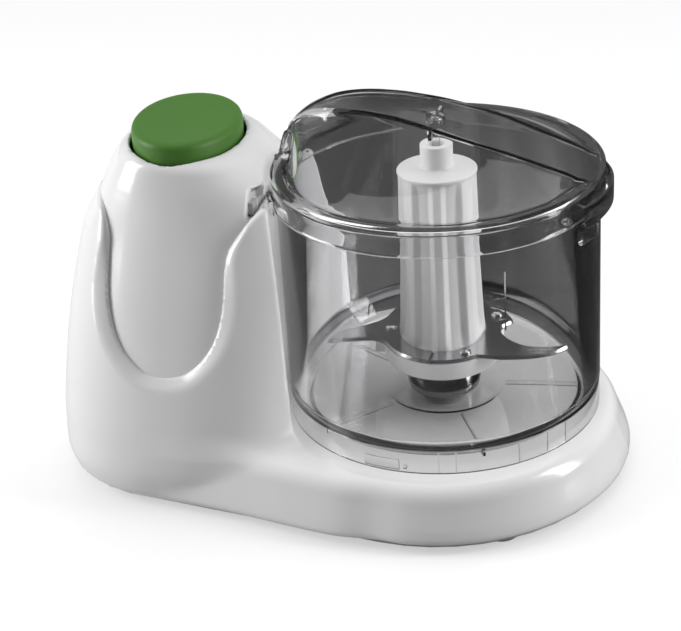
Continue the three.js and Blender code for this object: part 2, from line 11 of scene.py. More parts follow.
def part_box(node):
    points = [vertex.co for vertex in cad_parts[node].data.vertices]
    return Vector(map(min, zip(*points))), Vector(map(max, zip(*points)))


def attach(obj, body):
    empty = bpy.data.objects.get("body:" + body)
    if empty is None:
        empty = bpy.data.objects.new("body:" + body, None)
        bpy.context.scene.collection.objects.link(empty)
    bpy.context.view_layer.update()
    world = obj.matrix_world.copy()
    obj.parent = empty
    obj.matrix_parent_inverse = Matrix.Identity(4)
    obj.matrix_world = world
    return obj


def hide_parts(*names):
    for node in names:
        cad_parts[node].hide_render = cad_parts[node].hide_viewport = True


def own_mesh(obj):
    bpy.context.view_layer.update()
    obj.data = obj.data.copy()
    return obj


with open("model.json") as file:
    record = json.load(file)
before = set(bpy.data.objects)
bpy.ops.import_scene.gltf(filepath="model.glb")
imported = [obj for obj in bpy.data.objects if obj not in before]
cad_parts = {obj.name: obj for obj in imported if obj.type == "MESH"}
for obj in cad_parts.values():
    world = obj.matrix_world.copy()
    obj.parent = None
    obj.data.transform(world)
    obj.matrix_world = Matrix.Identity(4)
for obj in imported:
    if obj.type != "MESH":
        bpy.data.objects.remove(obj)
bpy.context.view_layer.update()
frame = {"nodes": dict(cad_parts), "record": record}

MM = 0.001
BOWL_X = 38.25       # the bowl's axis
TOWER_X = -54.0      # the button's axis
DECK_Z = 23.5        # top of the platform
SEAT_R = 61.5        # recess in the tower that the bowl stands in
RIM_SEAT_R = 64.45   # wider recess in the cover, for the lid
RIM_SEAT_Z = 108.4   # where it begins
WALL = 3.0
FOOT_Z = 3.4         # underside of the housing
COVER_WALL = 3.1
COVER_FOOT_Z = 46    # open lower edge of the cover, inside the housing
COVER_TOP_Z = 125.2
HOLE_RX, HOLE_RY = 20.3, 28.4  # the button's hole
SLOT = ((-21.7, 3.1), (-26, 10), (108.9, 4.4))  # interlock slot: middle and half size along X, Y and Z
TILT = -0.075        # rise of the cover's top along X
TILT_X = -53.2       # where that rise is nought

# Tower outside: height, left end, right end, half depth.
TOWER = np.array([
    (3.4, -101.6, -1.75, 57.6), (7, -105.6, -1.75, 59.4), (13, -107.2, -1.75, 60),
    (24, -107.1, -1.75, 58.4), (40, -105.6, -1.75, 55), (60, -102.6, -1.75, 50.4),
    (80, -98.2, -1.75, 45), (97, -93.4, -4, 40), (103.5, -89.6, -6, 38.6), (110, -86.2, -8, 36.6),
])
# Cover outside, in the same columns.
COVER = np.array([
    (44, -101.5, -5, 50.9), (60, -99.3, -5, 47.1), (80, -94.9, -5, 41.7), (97, -90.4, -8, 36.9),
    (106, -87.5, -12.5, 34.8), (114, -83.6, -19, 33), (120, -79.6, -25, 31.2),
    (123, -77.4, -28, 30.2), (127, -73.6, -32.6, 28.0),
])
# Platform: how far its side stands in from the outline at each height.
INSET = np.array([(3.4, 0.9), (5.5, 0.0), (8, 0.5), (12, 2.0), (16, 3.6), (20, 5.0), (23.5, 6.2)])
POWER = 2.5          # superellipse power of the tower's plan


# ---------------------------------------------------------------- curves and fields
def hermite(z, table):
    """Smooth curve through a table's rows, straight beyond its ends."""
    zk, yk = table[:, 0], table[:, 1:]
    h = np.diff(zk)[:, None]
    d = np.diff(yk, axis=0) / h
    m = np.vstack([d[:1], np.zeros_like(d[1:]), d[-1:]])
    same = d[:-1] * d[1:] > 0
    m[1:-1] = np.where(same, 2 * d[:-1] * d[1:] / np.where(same, d[:-1] + d[1:], 1), 0)
    zc = np.clip(z, zk[0], zk[-1])
    k = np.clip(np.searchsorted(zk, zc) - 1, 0, len(zk) - 2)
    hk = h[k, 0]
    t = (zc - zk[k]) / hk
    t2, t3 = t * t, t * t * t
    out = []
    for c in range(yk.shape[1]):
        y = ((2 * t3 - 3 * t2 + 1) * yk[k, c] + (t3 - 2 * t2 + t) * hk * m[k, c]
             + (3 * t2 - 2 * t3) * yk[k + 1, c] + (t3 - t2) * hk * m[k + 1, c])
        below = np.where(z < zk[0], (z - zk[0]) * m[0, c], 0)
        above = np.where(z > zk[-1], (z - zk[-1]) * m[-1, c], 0)
        out.append(y + below + above)
    return out


def smin(a, b, k):
    """Smaller of two fields, blended over a band of width k."""
    h = np.maximum(k - np.abs(a - b), 0) / k
    return np.minimum(a, b) - h * h * k * 0.25


def smax(a, b, k):
    """Larger of two fields, blended in the same way."""
    return -smin(-a, -b, k)


def superellipse(x, y, left, right, half, power=POWER):
    """Distance from a superellipse, near enough, negative inside."""
    a = (right - left) / 2
    u = np.abs((x - (left + right) / 2) / a) + 1e-6
    v = np.abs(y / half) + 1e-6
    s = (u ** power + v ** power) ** (1 / power)
    gx = (u / s) ** (power - 1) / a
    gy = (v / s) ** (power - 1) / half
    return (s - 1) / np.sqrt(gx * gx + gy * gy)


def catmull(points, per=8, closed=False):
    """Smooth curve through points, with a number of steps between each pair."""
    p = np.array(points, float)
    n = len(p)
    count = n if closed else n - 1
    out = []
    for i in range(count):
        if closed:
            a, b, c, d = p[i - 1], p[i], p[(i + 1) % n], p[(i + 2) % n]
        else:
            a, b, c, d = p[max(i - 1, 0)], p[i], p[i + 1], p[min(i + 2, n - 1)]
        for t in np.arange(per) / per:
            out.append(0.5 * (2 * b + (c - a) * t + (2 * a - 5 * b + 4 * c - d) * t * t
                              + (3 * b - a - 3 * c + d) * t ** 3))
    if not closed:
        out.append(p[-1])
    return np.array(out)


def polygon_distance(px, pz, poly):
    """Signed distance from a closed polygon, negative inside."""
    best = np.full(px.shape, 1e9)
    inside = np.zeros(px.shape, bool)
    for (x0, z0), (x1, z1) in zip(poly, np.roll(poly, -1, 0)):
        ex, ez = x1 - x0, z1 - z0
        t = np.clip(((px - x0) * ex + (pz - z0) * ez) / max(ex * ex + ez * ez, 1e-9), 0, 1)
        best = np.minimum(best, (px - x0 - t * ex) ** 2 + (pz - z0 - t * ez) ** 2)
        if z0 != z1:
            inside ^= ((z0 > pz) != (z1 > pz)) & (px < x0 + (pz - z0) * ex / ez)
    return np.where(inside, -1, 1) * np.sqrt(best)


# The U-shaped cut-out, seen from the front: half width at each height.
U_HALF = [(0, 50.0), (5, 50.6), (10, 52.8), (16, 58.6), (20.3, 67), (22.3, 78)]
RIGHT_HORN = [(22.9, 90), (24.4, 95.8), (27.2, 100.2), (30.6, 104.6), (34.2, 108), (38, 109.6)]
LEFT_HORN = [(22.2, 88), (22.0, 97), (24.0, 103.6), (27.2, 107.6), (33, 109.4)]
u_right = catmull(U_HALF + RIGHT_HORN, 6)
u_left = catmull(U_HALF + LEFT_HORN, 6)
U_POLY = np.vstack([
    [(-140, 150), (-140, LEFT_HORN[-1][1])],
    np.column_stack([TOWER_X - u_left[::-1, 0], u_left[::-1, 1]])[:-1],
    np.column_stack([TOWER_X + u_right[:, 0], u_right[:, 1]]),
    [(10, RIGHT_HORN[-1][1]), (10, 150)],
])
LUT_X, LUT_Z = np.arange(-125, 8, 0.5), np.arange(36, 150, 0.5)
LUT = polygon_distance(*np.meshgrid(LUT_X, LUT_Z, indexing="ij"), U_POLY)
# How far the cut-out's edge is rolled in, at each height.
LIP = np.array([(47, 3.2), (54, 3.8), (62, 4.6), (70, 5.4), (80, 5.6), (90, 4.0), (97, 2.0), (104, 0.8)])


def table_lookup(a, b, rows, cols, table):
    """Value between the points of a regular table."""
    i = np.clip((a - rows[0]) / (rows[1] - rows[0]), 0, len(rows) - 1.001)
    k = np.clip((b - cols[0]) / (cols[1] - cols[0]), 0, len(cols) - 1.001)
    i0, k0 = i.astype(int), k.astype(int)
    u, w = i - i0, k - k0
    return ((table[i0, k0] * (1 - u) + table[i0 + 1, k0] * u) * (1 - w)
            + (table[i0, k0 + 1] * (1 - u) + table[i0 + 1, k0 + 1] * u) * w)


def u_distance(x, z):
    """Distance from the cut-out's outline, negative inside it."""
    return table_lookup(x, z, LUT_X, LUT_Z, LUT)


# The platform's outline from above: it swells from the tower's foot into the round under the bowl.
FRONT = [(-96, -37), (-82.8, -49.5), (-69.8, -55), (-54.8, -59.2), (-37.8, -61.8), (-22.8, -64.6),
         (-4.8, -68.6), (13, -71.8)]
ROUND_X, ROUND_Y = 69, 72.9
ROUND = [(BOWL_X + ROUND_X * math.sin(a), -ROUND_Y * math.cos(a))
         for a in np.radians(np.arange(-10, 91, 11.1))]
HALF_PLAN = [(-101.5, 0), (-101, -20)] + FRONT + ROUND
PLAN = catmull(HALF_PLAN + [(x, -y) for x, y in HALF_PLAN[:0:-1] if y < -0.1], 6, True)
PLAN_X, PLAN_Y = np.arange(-112, 113, 1.0), np.arange(-80, 81, 1.0)
PLAN_LUT = polygon_distance(*np.meshgrid(PLAN_X, PLAN_Y, indexing="ij"), PLAN)


def housing_field(p):
    """Tower and platform in one moulding, hollow, with the bowl's recess and the U-shaped cut-outs."""
    x, y, z = p.T
    outer = superellipse(x, y, *hermite(z, TOWER))
    low = z < 42
    if low.any():
        xl, yl, zl = x[low], y[low], z[low]
        side = table_lookup(xl, yl, PLAN_X, PLAN_Y, PLAN_LUT) + hermite(zl, INSET)[0]
        platform = smax(side, zl - DECK_Z, 5.5)
        # The tower flows into the deck over a wider band than into the platform's side.
        reach = 1.5 + 7.5 * np.clip((zl - 12) / 10, 0, 1)
        outer[low] = smin(outer[low], platform, reach)
    r = np.hypot(x - BOWL_X, y)
    seat = np.maximum(r - SEAT_R, DECK_Z - z)
    # The tower's wall is thicker than the platform's, so that it reaches the cover round the cut-outs.
    extra_wall = np.clip((z - 38) / 6, 0, 1) * 3.4
    inner = np.maximum(outer + extra_wall + WALL, WALL - seat)
    # The cut-out is wider at the outside, which rolls its edge in.
    lip = np.interp(z, LIP[:, 0], LIP[:, 1])
    cut = (u_distance(x, z) - lip * np.clip(1 + outer / 2.6, 0, 1.3)) * 0.5
    body = smax(outer, FOOT_Z - z, 1.6)
    body = smax(body, -seat, 1.6)
    body = smax(body, -cut, 1.1)
    return smax(body, -inner, 0.5)


def cover_field(p):
    """The dome inside the tower, open below, with the button's hole and the interlock's slot."""
    x, y, z = p.T
    lift = np.clip((z - 112) / 12, 0, 1)
    zt = z - lift * TILT * (x - TILT_X)
    outer = superellipse(x, y, *hermite(zt, COVER), 2.4)
    outer = smax(outer, zt - COVER_TOP_Z, 4.5)
    r = np.hypot(x - BOWL_X, y)
    wide_seat = np.maximum(r - RIM_SEAT_R, z - RIM_SEAT_Z)
    tall_seat = np.maximum(r - SEAT_R, RIM_SEAT_Z - 0.1 - z)
    seat = np.minimum(wide_seat, tall_seat)
    hole = superellipse(x, y, TOWER_X - HOLE_RX, TOWER_X + HOLE_RX, HOLE_RY, 2.0)
    slot = np.maximum.reduce([np.abs(q - middle) - half for q, (middle, half) in zip((x, y, z), SLOT)])
    inner = np.maximum(outer + COVER_WALL, COVER_WALL - seat)
    body = smax(outer, COVER_FOOT_Z - z, 0.5)
    body = smax(body, -seat, 2.2)
    body = smax(body, -inner, 0.4)
    body = smax(body, -slot, 0.6)
    return smax(body, -hole, 1.0)


def surface_net(field, low, high, step):
    """Vertices and quads of the surface where the field is nought."""
    axes = [np.arange(a, b + step, step) for a, b in zip(low, high)]
    nx, ny, nz = map(len, axes)
    v = np.empty((nx, ny, nz), np.float32)
    gy, gz = np.meshgrid(axes[1], axes[2], indexing="ij")
    for i in range(0, nx, 16):
        xs = axes[0][i:i + 16]
        pts = np.column_stack([np.repeat(xs, gy.size), np.tile(gy.ravel(), len(xs)),
                               np.tile(gz.ravel(), len(xs))])
        v[i:i + 16] = field(pts).reshape(len(xs), ny, nz)
    solid = v < 0
    corner = [(a, b, c) for a in (0, 1) for b in (0, 1) for c in (0, 1)]
    count = sum(solid[a:nx - 1 + a, b:ny - 1 + b, c:nz - 1 + c].astype(np.int8) for a, b, c in corner)
    cells = np.argwhere((count > 0) & (count < 8))
    index = np.full((nx - 1, ny - 1, nz - 1), -1, np.int64)
    index[tuple(cells.T)] = np.arange(len(cells))
    vals = np.stack([v[tuple((cells + c).T)] for c in corner], 1)
    total = np.zeros((len(cells), 3))
    hits = np.zeros(len(cells))
    for i, ci in enumerate(corner):
        for j, cj in enumerate(corner):
            if j > i and sum(abs(a - b) for a, b in zip(ci, cj)) == 1:
                a, b = vals[:, i], vals[:, j]
                on = (a < 0) != (b < 0)
                t = np.where(on, a / np.where(on, a - b, 1), 0)[:, None]
                total += np.where(on[:, None], np.array(ci) + t * (np.array(cj) - ci), 0)
                hits += on
    verts = (cells + total / hits[:, None]) * step + np.array([a[0] for a in axes])
    quads = []
    for ax in range(3):
        o1, o2 = [(1, 2), (2, 0), (0, 1)][ax]
        a = solid[tuple(slice(0, -1) if k == ax else slice(1, -1) for k in range(3))]
        b = solid[tuple(slice(1, None) if k == ax else slice(1, -1) for k in range(3))]
        edges = np.argwhere(a != b)
        first = a[tuple(edges.T)]
        base = edges.copy()
        base[:, o1] += 1
        base[:, o2] += 1
        ring = []
        for d1, d2 in ((1, 1), (0, 1), (0, 0), (1, 0)):
            c = base.copy()
            c[:, o1] -= d1
            c[:, o2] -= d2
            ring.append(index[tuple(c.T)])
        quad = np.stack(ring, 1)
        quads.append(np.where(first[:, None], quad, quad[:, ::-1]))
    # Each vertex is moved onto the surface, and goes back to its start if it strays.
    probe, most_off, most_moved = 0.06, 0.03, 0.6 * step
    start = verts
    for _ in range(3):
        f = field(verts)
        grad = np.stack([(field(verts + d) - field(verts - d)) / (2 * probe) for d in np.eye(3) * probe], 1)
        g2 = np.maximum((grad ** 2).sum(1), 0.15)
        verts = verts - np.clip(f / g2, -0.5, 0.5)[:, None] * grad
    moved = np.linalg.norm(verts - start, axis=1)
    stray = (np.abs(field(verts)) > most_off) | (moved > most_moved)
    return np.where(stray[:, None], start, verts), np.vstack(quads)


# ---------------------------------------------------------------- materials
def new_material(name):
    """Empty node material and its tree."""
    m = bpy.data.materials.new(name)
    m.use_nodes = True
    nt = m.node_tree
    nt.nodes.clear()
    return m, nt


def link(nt, a, b):
    nt.links.new(a, b)


def noise_of(nt, scale, detail=3.0, stretch=None):
    """Noise in the object's own space, stretched along its axes if asked."""
    coord = nt.nodes.new("ShaderNodeTexCoord")
    mapping = nt.nodes.new("ShaderNodeMapping")
    if stretch:
        mapping.inputs["Scale"].default_value = stretch
    link(nt, coord.outputs["Object"], mapping.inputs["Vector"])
    tex = nt.nodes.new("ShaderNodeTexNoise")
    tex.inputs["Scale"].default_value = scale
    tex.inputs["Detail"].default_value = detail
    link(nt, mapping.outputs[0], tex.inputs["Vector"])
    return tex.outputs["Fac"]


def ranged(nt, value, low, high):
    """A value from nought to one, mapped to a range."""
    r = nt.nodes.new("ShaderNodeMapRange")
    r.inputs["To Min"].default_value = low
    r.inputs["To Max"].default_value = high
    link(nt, value, r.inputs["Value"])
    return r.outputs[0]


def mixed(nt, fac, a, b):
    """Colour between two, each given as numbers or as another node's output."""
    mix = nt.nodes.new("ShaderNodeMix")
    mix.data_type = "RGBA"
    link(nt, fac, mix.inputs[0])
    for sock, c in ((mix.inputs[6], a), (mix.inputs[7], b)):
        if isinstance(c, tuple):
            sock.default_value = (*c, 1)
        else:
            link(nt, c, sock)
    return mix.outputs[2]


def moulded(name, colour, rough, vary=0.04, bump=0.02, scale=900.0, metallic=0.0, stretch=None, coat=0.0,
            gloss=0.5):
    """Moulded plastic, rubber or metal: slight colour drift, uneven gloss and a fine surface grain."""
    m, nt = new_material(name)
    out = nt.nodes.new("ShaderNodeOutputMaterial")
    b = nt.nodes.new("ShaderNodeBsdfPrincipled")
    b.inputs["Metallic"].default_value = metallic
    b.inputs["Coat Weight"].default_value = coat
    b.inputs["Specular IOR Level"].default_value = gloss
    b.inputs["Coat Roughness"].default_value = 0.06
    dark = tuple(c * (1 - vary) for c in colour)
    link(nt, mixed(nt, noise_of(nt, 22), dark, colour), b.inputs["Base Color"])
    link(nt, ranged(nt, noise_of(nt, 60, 4, stretch), rough * 0.85, rough * 1.2), b.inputs["Roughness"])
    bp = nt.nodes.new("ShaderNodeBump")
    bp.inputs["Strength"].default_value = bump
    bp.inputs["Distance"].default_value = 0.0002
    link(nt, noise_of(nt, scale, 2, stretch), bp.inputs["Height"])
    link(nt, bp.outputs[0], b.inputs["Normal"])
    link(nt, b.outputs[0], out.inputs[0])
    return m


TINT_LOW, TINT_SPAN = 0.02, 0.125  # metres: where the tint of the clear plastic begins, and over what height


def clear_plastic(name, stops, rough=0.03, ior=1.42):
    """Clear moulded plastic that bends what is seen through it, tinted by height: (z in mm, colour)."""
    m, nt = new_material(name)
    out = nt.nodes.new("ShaderNodeOutputMaterial")
    coord = nt.nodes.new("ShaderNodeTexCoord")
    sep = nt.nodes.new("ShaderNodeSeparateXYZ")
    link(nt, coord.outputs["Object"], sep.inputs[0])
    height = nt.nodes.new("ShaderNodeMapRange")
    height.inputs["From Min"].default_value = TINT_LOW
    height.inputs["From Max"].default_value = TINT_LOW + TINT_SPAN
    link(nt, sep.outputs[2], height.inputs["Value"])
    ramp = nt.nodes.new("ShaderNodeValToRGB")
    el = ramp.color_ramp.elements
    while len(el) < len(stops):
        el.new(0.5)
    for e, (z, c) in zip(el, stops):
        e.position = (z * MM - TINT_LOW) / TINT_SPAN
        e.color = (*c, 1)
    link(nt, height.outputs[0], ramp.inputs[0])
    tint = mixed(nt, ranged(nt, noise_of(nt, 30), 0.0, 0.08), ramp.outputs[0], (0.86, 0.86, 0.88))
    bend = nt.nodes.new("ShaderNodeBsdfRefraction")
    bend.inputs["IOR"].default_value = ior
    bend.inputs["Roughness"].default_value = 0.0
    link(nt, tint, bend.inputs["Color"])
    gloss = nt.nodes.new("ShaderNodeBsdfGlossy")
    gloss.inputs["Color"].default_value = (1, 1, 1, 1)
    link(nt, ranged(nt, noise_of(nt, 40), rough * 0.7, rough * 1.5), gloss.inputs["Roughness"])
    fres = nt.nodes.new("ShaderNodeFresnel")
    fres.inputs["IOR"].default_value = 1.5
    solid = nt.nodes.new("ShaderNodeMixShader")
    link(nt, fres.outputs[0], solid.inputs[0])
    link(nt, bend.outputs[0], solid.inputs[1])
    link(nt, gloss.outputs[0], solid.inputs[2])
    # Light that falls through it is let straight in, so the inside is lit.
    path = nt.nodes.new("ShaderNodeLightPath")
    either = nt.nodes.new("ShaderNodeMath")
    either.operation = "MAXIMUM"
    link(nt, path.outputs["Is Shadow Ray"], either.inputs[0])
    link(nt, path.outputs["Is Diffuse Ray"], either.inputs[1])
    see = nt.nodes.new("ShaderNodeBsdfTransparent")
    see.inputs[0].default_value = (0.99, 0.99, 0.99, 1)
    mix = nt.nodes.new("ShaderNodeMixShader")
    link(nt, either.outputs[0], mix.inputs[0])
    link(nt, solid.outputs[0], mix.inputs[1])
    link(nt, see.outputs[0], mix.inputs[2])
    link(nt, mix.outputs[0], out.inputs[0])
    return m


WHITE = moulded("white_gloss", (0.74, 0.74, 0.745), 0.2, 0.015, 0.012, 700, coat=0.25)
GREEN = moulded("button_green", (0.066, 0.182, 0.026), 0.42, 0.06, 0.05, 1400, gloss=0.3)
MILKY = moulded("milky_white", (0.80, 0.80, 0.80), 0.32, 0.02, 0.02, 900)
GREY = moulded("base_grey", (0.42, 0.43, 0.44), 0.5, 0.08, 0.08, 1200)
BLACK = moulded("black_plastic", (0.02, 0.02, 0.021), 0.5, 0.2, 0.1, 1200)
RUBBER = moulded("rubber_grey", (0.36, 0.36, 0.37), 0.8, 0.12, 0.2, 1600)
BELT = moulded("belt_rubber", (0.03, 0.03, 0.03), 0.75, 0.15, 0.3, 900)
STEEL = moulded("satin_steel", (0.52, 0.52, 0.53), 0.22, 0.08, 0.015, 160, 1.0, (1, 12, 1))
DARK_STEEL = moulded("polished_dark_steel", (0.26, 0.25, 0.245), 0.12, 0.05, 0.01, 500, 1.0)
IRON = moulded("stamped_iron", (0.34, 0.35, 0.36), 0.45, 0.2, 0.15, 700, 1.0, (1, 1, 30))
COPPER = moulded("winding_copper", (0.62, 0.29, 0.13), 0.35, 0.15, 0.4, 1500, 1.0, (1, 1, 8))
BRASS = moulded("turned_brass", (0.72, 0.52, 0.2), 0.25, 0.1, 0.05, 700, 1.0, (1, 1, 10))
CORNER_PAINTED_SHADE = (0.32, 0.31, 0.32)  # painted shade: a dark band in the tint at the thick corner where the bowl's floor meets its wall
# The bowl's tint by height; the dark stops from 33.9 to 36.2 mm paint shade into its thick corner.
CLEAR = clear_plastic("clear_bowl", [
    (22, (0.9, 0.9, 0.9)), (33.2, (0.92, 0.92, 0.92)), (33.9, CORNER_PAINTED_SHADE), (36.2, CORNER_PAINTED_SHADE),
    (37.0, (0.99, 0.99, 0.99)), (115, (0.985, 0.985, 0.99)),
])
CLEAR_LID = clear_plastic("clear_lid", [(105, (0.985, 0.985, 0.985)), (141, (0.96, 0.96, 0.965))])
CLEAR_EDGE = clear_plastic("clear_edge", [(24, (0.98, 0.98, 0.98)), (141, (0.97, 0.97, 0.97))])

BY_SLOT = {
    "housing_white": WHITE, "button_green": GREEN, "clear_plastic": CLEAR_EDGE, "milky_white": MILKY,
    "base_grey": GREY, "black_plastic": BLACK, "foot_rubber": RUBBER, "belt_rubber": BELT, "steel": STEEL,
    "motor_iron": IRON, "copper": COPPER, "brass": BRASS,
}
SLOT_OF = {s["node"]: s["material_slot"] for s in frame["record"]["subparts"]}
for node_name, node in frame["nodes"].items():
    node.data.materials.clear()
    node.data.materials.append(BY_SLOT[SLOT_OF[node_name]])


# ---------------------------------------------------------------- mesh helpers
def piece(name, verts, faces, material, body, slot, replaces=(), sharp=None):
    """A piece from vertices in millimetres, smooth apart from edges sharper than an angle in degrees."""
    me = bpy.data.meshes.new(name)
    me.from_pydata((np.asarray(verts) * MM).tolist(), [], [list(map(int, f)) for f in faces])
    bm = bmesh.new()
    bm.from_mesh(me)
    bmesh.ops.remove_doubles(bm, verts=bm.verts, dist=2e-6)
    bmesh.ops.recalc_face_normals(bm, faces=bm.faces)
    bm.to_mesh(me)
    bm.free()
    me.polygons.foreach_set("use_smooth", [True] * len(me.polygons))
    if sharp:
        me.set_sharp_from_angle(angle=math.radians(sharp))
    ob = bpy.data.objects.new(name, me)
    bpy.context.scene.collection.objects.link(ob)
    me.materials.append(material)
    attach(ob, body)
    if replaces:
        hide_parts(*replaces)
    return ob


def fillet(points, radii, steps=4):
    """Closed outline with each corner rounded to its radius."""
    p = [np.array(q, float) for q in points]
    out = []
    for i, b in enumerate(p):
        if radii[i] <= 0:
            out.append(b)
            continue
        a, c = p[i - 1], p[(i + 1) % len(p)]
        u, v = (a - b), (c - b)
        lu, lv = np.linalg.norm(u), np.linalg.norm(v)
        u, v = u / lu, v / lv
        half = math.acos(max(-1.0, min(1.0, float(u @ v)))) / 2
        d = min(radii[i] / math.tan(half), lu * 0.49, lv * 0.49)
        r = d * math.tan(half)
        centre = b + (u + v) / np.linalg.norm(u + v) * r / math.sin(half)
        s, e = b + u * d - centre, b + v * d - centre
        a0, a1 = math.atan2(s[1], s[0]), math.atan2(e[1], e[0])
        turn = (a1 - a0 + math.pi) % (2 * math.pi) - math.pi
        for k in range(steps + 1):
            t = a0 + turn * k / steps
            out.append(centre + r * np.array([math.cos(t), math.sin(t)]))
    return out


def revolve(rings_fn, count, n):
    """Faces of a closed tube of rings, whose last ring joins its first."""
    verts = np.vstack([rings_fn(k, n) for k in range(count)])
    faces = []
    for k in range(count):
        k1 = (k + 1) % count
        for i in range(n):
            j = (i + 1) % n
            faces.append((k * n + i, k * n + j, k1 * n + j, k1 * n + i))
    return verts, faces


def lathe(profile, n=128, cx=BOWL_X, cy=0.0):
    """Solid of revolution of a closed profile of (radius, height)."""
    a = np.linspace(0, 2 * np.pi, n, endpoint=False)

    def ring(k, _):
        r, z = profile[k]
        return np.column_stack([cx + r * np.cos(a), cy + r * np.sin(a), np.full(n, z)])
    return revolve(ring, len(profile), n)


def arc_block(a0, a1, r0, r1, z0, z1, steps=24, soft=0.4):
    """Curved bar about the bowl's axis with rounded edges, angles in degrees."""
    section = fillet([(r0, z0), (r1, z0), (r1, z1), (r0, z1)], [soft] * 4, 3)
    m = len(section)
    rows = np.radians(np.linspace(a0, a1, steps + 1))
    verts = [(BOWL_X + r * math.cos(t), r * math.sin(t), z) for t in rows for r, z in section]
    return verts, bar_faces(steps, m)


def bar_faces(steps, m):
    """Faces of a bar of steps + 1 sections with m points each, capped at both ends."""
    faces = [(k * m + i, k * m + (i + 1) % m, (k + 1) * m + (i + 1) % m, (k + 1) * m + i)
             for k in range(steps) for i in range(m)]
    return faces + [tuple(range(m)), tuple(range(steps * m, steps * m + m))]


def merge(*parts):
    """Several (vertices, faces) parts as one."""
    verts, faces = [], []
    for v, f in parts:
        off = len(verts)
        verts.extend(map(tuple, v))
        faces.extend([tuple(i + off for i in q) for q in f])
    return verts, faces


def plate(outline, z0, z1, inset):
    """Flat plate on an outline, with its top drawn in above a short upright edge."""
    o = np.array(outline)
    t = np.roll(o, -1, 0) - np.roll(o, 1, 0)
    t /= np.linalg.norm(t, axis=1)[:, None] + 1e-9
    area = 0.5 * np.sum(o[:, 0] * np.roll(o[:, 1], -1) - np.roll(o[:, 0], -1) * o[:, 1])
    nrm = np.column_stack([-t[:, 1], t[:, 0]]) * (1 if area > 0 else -1)
    top = o + nrm * inset
    n = len(o)
    verts = [(x, y, z0) for x, y in o] + [(x, y, z0 + 0.35) for x, y in o]
    verts += [(x, y, z1) for x, y in top]
    faces = [tuple(range(n))[::-1], tuple(range(2 * n, 3 * n))]
    for a in (0, n):
        faces += [(a + i, a + (i + 1) % n, a + n + (i + 1) % n, a + n + i) for i in range(n)]
    return verts, faces


# ---------------------------------------------------------------- housing and cover
CELL = 0.95
v, f = surface_net(housing_field, (-109.1, -75.1, 1.1), (109.1, 75.1, 108), CELL)
piece("housing_shell", v, f, WHITE, "base", "housing_white", ["main_housing"], 50)
v, f = surface_net(cover_field, (-103.1, -52.1, 44.1), (-12, 52.1, 128.6), CELL)
piece("cover_dome", v, f, WHITE, "base", "housing_white", ["tower_cover"], 50)

FEET = {"front_left": (-78, -42), "rear_left": (-78, 42), "front_right": (69, -53), "rear_right": (69, 53)}
for foot, (fx, fy) in FEET.items():
    prof = fillet([(0.01, 0), (6.5, 0), (6.5, 2.5), (0.01, 2.5)], [0, 0.9, 0.4, 0], 4)
    groove = fillet([(2.6, 0.0), (2.6, 0.5), (4.2, 0.5), (4.2, 0.0)], [0.1, 0.15, 0.15, 0.1], 2)
    prof = [prof[0]] + groove + prof[1:]
    v, f = lathe(prof, 48, fx, fy)
    piece(f"foot_pad_{foot}", v, f, RUBBER, "base", "foot_rubber", [f"foot_{foot}"], 40)


# ---------------------------------------------------------------- button
def button_ring(rx, ry, z, n):
    """Oval ring that follows the cover's tilt."""
    a = np.linspace(0, 2 * np.pi, n, endpoint=False)
    x, y = rx * np.cos(a), ry * np.sin(a)
    return np.column_stack([TOWER_X + x, y, z + TILT * x])


BUTTON_TOP = 131.0
BUTTON_RX, BUTTON_RY = 19.2, 27.4
# Section of the button, as (distance in from its edge, height over its top).
DISH = [(19.15, -0.75), (16, -0.73), (12, -0.62), (8, -0.42), (5, -0.22), (3.2, -0.08), (2.2, 0),
        (1.4, -0.12), (0.8, -0.42), (0.35, -0.95), (0.1, -1.6), (0.0, -2.4), (0.0, -6.0), (0.0, -13.0),
        (0.8, -14.0), (3.0, -14.0), (4.0, -13.2), (4.2, -6), (5.0, -4.0), (8, -3.6), (13, -3.6),
        (19.15, -3.6)]


def dish_ring(k, n):
    """One ring of the button's surface."""
    inset, rise = DISH[k]
    rx = BUTTON_RX - inset
    return button_ring(rx, rx * BUTTON_RY / BUTTON_RX, BUTTON_TOP + rise, n)


v, f = revolve(dish_ring, len(DISH), 128)
piece("button_cap", v, f, GREEN, "button", "button_green", ["pulse_button"], 60)


def spring_piece(name, node, axis):
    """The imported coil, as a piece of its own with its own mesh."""
    mesh = frame["nodes"][node].data
    low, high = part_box(node)
    k = axis.index(1)
    anchor = [(a + b) / 2 for a, b in zip(low, high)]
    anchor[k] = low[k]
    ob = piece(name, [tuple(q.co / MM) for q in mesh.vertices], [tuple(q.vertices) for q in mesh.polygons],
               STEEL, "base", "steel", [node], 35)
    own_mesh(ob)


spring_piece("button_coil", "button_spring", (0, 0, 1))
spring_piece("interlock_coil", "interlock_spring", (1, 0, 0))

# ---------------------------------------------------------------- bowl
bowl_profile = fillet(
    [(4.6, 27.4), (21, 27.6), (22.5, 27.8), (49.5, 28.1), (55.9, 33.4), (55.9, 24), (57.7, 24),
     (57.7, 115.4), (55.9, 115.4), (55.9, 36.6), (50.5, 29.9), (22.6, 29.7), (21.0, 29.5), (7.6, 29.4),
     (7.6, 52), (4.6, 52)],
    [0.3, 1.5, 1.5, 2.5, 0.4, 0.5, 0.6, 0.8, 0.8, 1.2, 2.5, 1.5, 1.5, 1.5, 0.8, 0.6], 5)
v, f = lathe(bowl_profile, 192)
piece("bowl_shell", v, f, CLEAR, "bowl", "clear_plastic", ["bowl"], 50)

